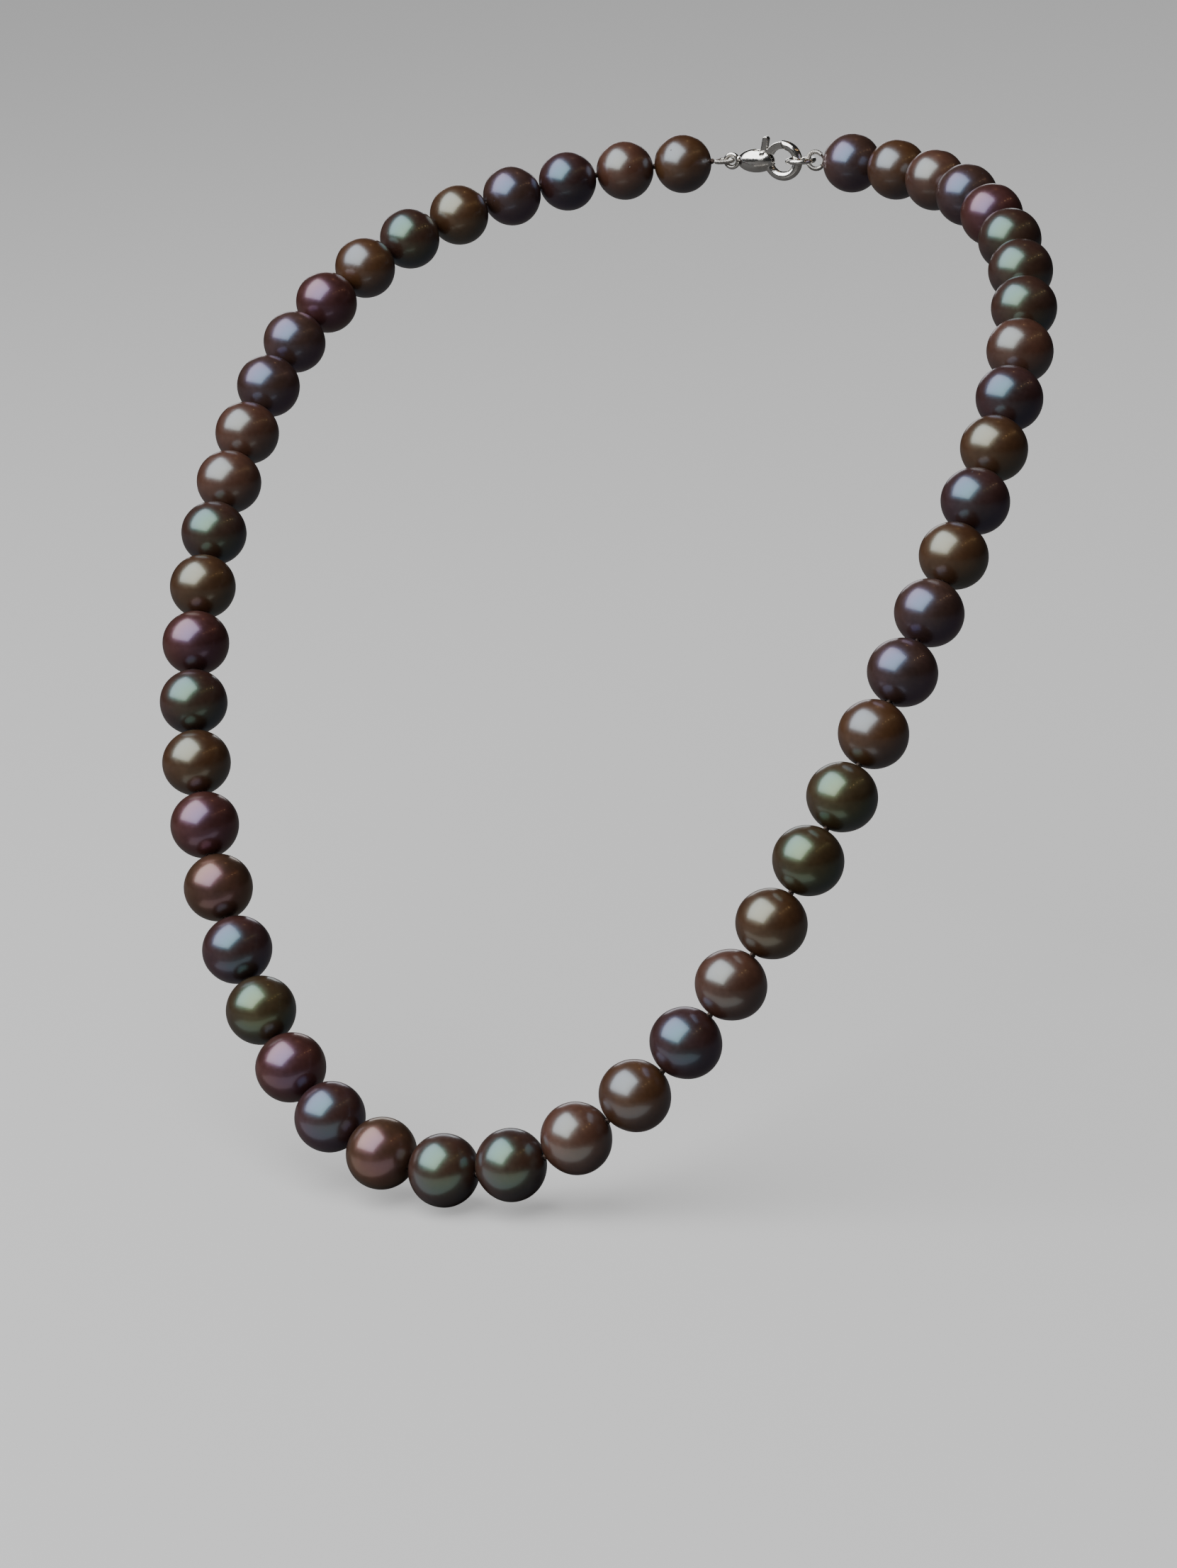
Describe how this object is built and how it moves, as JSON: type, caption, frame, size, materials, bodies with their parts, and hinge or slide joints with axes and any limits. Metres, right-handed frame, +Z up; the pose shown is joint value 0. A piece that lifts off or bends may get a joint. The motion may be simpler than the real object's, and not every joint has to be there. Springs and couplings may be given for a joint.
{
  "type": "pearl necklace",
  "caption": "Graduated single-strand pearl necklace, knotted on silk, with a lobster clasp, in its worn shape round a neck.",
  "frame": {"origin": "middle of the neck opening, level with the nape", "axes": "+Z up, front of the necklace faces -Y, +X towards the right as seen from the front"},
  "size_m": [0.1202, 0.1381, 0.1195],
  "materials": {
    "nacre_plum_mint": "gloss",
    "nacre_plum_blue": "gloss",
    "nacre_olive_mint": "gloss",
    "nacre_olive_coral": "gloss",
    "nacre_bronze_cream": "gloss",
    "nacre_golden_lilac": "gloss",
    "nacre_taupe_lilac": "gloss",
    "nacre_mauve_pink": "gloss",
    "nacre_rose_silver": "gloss",
    "silk": "matte",
    "gimp_wire": "satin",
    "silver": "gloss",
    "spring_steel": "satin"
  },
  "bodies": {
    "neck_stretch": {"pearl_pair_13": "nacre_plum_blue", "pearl_pair_14": "nacre_bronze_cream", "pearl_pair_15": "nacre_plum_blue", "pearl_pair_16": "nacre_rose_silver", "pearl_pair_17": "nacre_plum_mint", "pearl_pair_18": "nacre_plum_mint", "pearl_pair_19": "nacre_plum_mint", "pearl_pair_20": "nacre_mauve_pink", "pearl_pair_21": "nacre_taupe_lilac", "pearl_pair_22": "nacre_rose_silver", "pearl_pair_23": "nacre_golden_lilac", "pearl_pair_24": "nacre_taupe_lilac", "silk_neck": "silk", "gimp_left": "gimp_wire", "gimp_right": "gimp_wire"},
    "drop_12": {"pearl_left_12": "nacre_plum_mint", "pearl_right_12": "nacre_bronze_cream", "silk_pair_12": "silk"},
    "drop_11": {"pearl_left_11": "nacre_bronze_cream", "pearl_right_11": "nacre_taupe_lilac", "silk_pair_11": "silk"},
    "drop_10": {"pearl_left_10": "nacre_mauve_pink", "pearl_right_10": "nacre_taupe_lilac", "silk_pair_10": "silk"},
    "drop_09": {"pearl_left_09": "nacre_plum_mint", "pearl_right_09": "nacre_golden_lilac", "silk_pair_09": "silk"},
    "drop_08": {"pearl_left_08": "nacre_bronze_cream", "pearl_right_08": "nacre_olive_mint", "silk_pair_08": "silk"},
    "drop_07": {"pearl_left_07": "nacre_mauve_pink", "pearl_right_07": "nacre_olive_mint", "silk_pair_07": "silk"},
    "drop_06": {"pearl_left_06": "nacre_olive_coral", "pearl_right_06": "nacre_bronze_cream", "silk_pair_06": "silk"},
    "drop_05": {"pearl_left_05": "nacre_plum_blue", "pearl_right_05": "nacre_rose_silver", "silk_pair_05": "silk"},
    "drop_04": {"pearl_left_04": "nacre_olive_mint", "pearl_right_04": "nacre_plum_blue", "silk_pair_04": "silk"},
    "drop_03": {"pearl_left_03": "nacre_mauve_pink", "pearl_right_03": "nacre_golden_lilac", "silk_pair_03": "silk"},
    "drop_02": {"pearl_left_02": "nacre_plum_blue", "pearl_right_02": "nacre_rose_silver", "silk_pair_02": "silk"},
    "drop_01": {"pearl_left_01": "nacre_olive_coral", "pearl_right_01": "nacre_plum_mint", "silk_pair_01": "silk"},
    "drop_centre": {"pearl_centre": "nacre_plum_mint", "silk_centre": "silk"},
    "clasp": {"clasp_body": "silver", "lever_pin": "silver", "lever_spring": "spring_steel"},
    "lever": {"clasp_lever": "silver"},
    "ring": {"clasp_ring": "silver"}
  },
  "joints": [
    {"name": "lift_12", "type": "hinge", "parent": "neck_stretch", "child": "drop_12", "pos_m": [0, -0.02053, -0.03698], "axis": [-1, 0, 0], "range_deg": [0, 12]},
    {"name": "lift_11", "type": "hinge", "parent": "drop_12", "child": "drop_11", "pos_m": [0, -0.02738, -0.04286], "axis": [-1, 0, 0], "range_deg": [0, 12]},
    {"name": "lift_10", "type": "hinge", "parent": "drop_11", "child": "drop_10", "pos_m": [0, -0.0339, -0.04906], "axis": [-1, 0, 0], "range_deg": [0, 12]},
    {"name": "lift_09", "type": "hinge", "parent": "drop_10", "child": "drop_09", "pos_m": [0, -0.03998, -0.05562], "axis": [-1, 0, 0], "range_deg": [0, 12]},
    {"name": "lift_08", "type": "hinge", "parent": "drop_09", "child": "drop_08", "pos_m": [0, -0.04555, -0.06252], "axis": [-1, 0, 0], "range_deg": [0, 12]},
    {"name": "lift_07", "type": "hinge", "parent": "drop_08", "child": "drop_07", "pos_m": [0, -0.05063, -0.06965], "axis": [-1, 0, 0], "range_deg": [0, 12]},
    {"name": "lift_06", "type": "hinge", "parent": "drop_07", "child": "drop_06", "pos_m": [0, -0.05522, -0.07692], "axis": [-1, 0, 0], "range_deg": [0, 12]},
    {"name": "lift_05", "type": "hinge", "parent": "drop_06", "child": "drop_05", "pos_m": [0, -0.05941, -0.08418], "axis": [-1, 0, 0], "range_deg": [0, 12]},
    {"name": "lift_04", "type": "hinge", "parent": "drop_05", "child": "drop_04", "pos_m": [0, -0.06338, -0.09123], "axis": [-1, 0, 0], "range_deg": [0, 12]},
    {"name": "lift_03", "type": "hinge", "parent": "drop_04", "child": "drop_03", "pos_m": [0, -0.06731, -0.09785], "axis": [-1, 0, 0], "range_deg": [0, 12]},
    {"name": "lift_02", "type": "hinge", "parent": "drop_03", "child": "drop_02", "pos_m": [0, -0.07104, -0.1037], "axis": [-1, 0, 0], "range_deg": [0, 12]},
    {"name": "lift_01", "type": "hinge", "parent": "drop_02", "child": "drop_01", "pos_m": [0, -0.07403, -0.10817], "axis": [-1, 0, 0], "range_deg": [0, 12]},
    {"name": "lift_centre", "type": "hinge", "parent": "drop_01", "child": "drop_centre", "pos_m": [0, -0.07576, -0.11066], "axis": [-1, 0, 0], "range_deg": [0, 12]},
    {"name": "clasp_roll", "type": "hinge", "parent": "neck_stretch", "child": "clasp", "pos_m": [0, 0.05467, -0.00013], "axis": [1, 0, 0], "range_deg": [-12, 12]},
    {"name": "lever_press", "type": "hinge", "parent": "clasp", "child": "lever", "pos_m": [-0.001, 0.05467, 0.00097], "axis": [0, 1, 0], "range_deg": [0, 18], "stiffness_Nm_per_rad": 0.004, "springref_deg": -28.65, "deforming": ["lever_spring"]},
    {"name": "ring_swing", "type": "hinge", "parent": "neck_stretch", "child": "ring", "pos_m": [0.00475, 0.05467, -0.00013], "axis": [0, 1, 0], "range_deg": [-6, 6]}
  ]
}
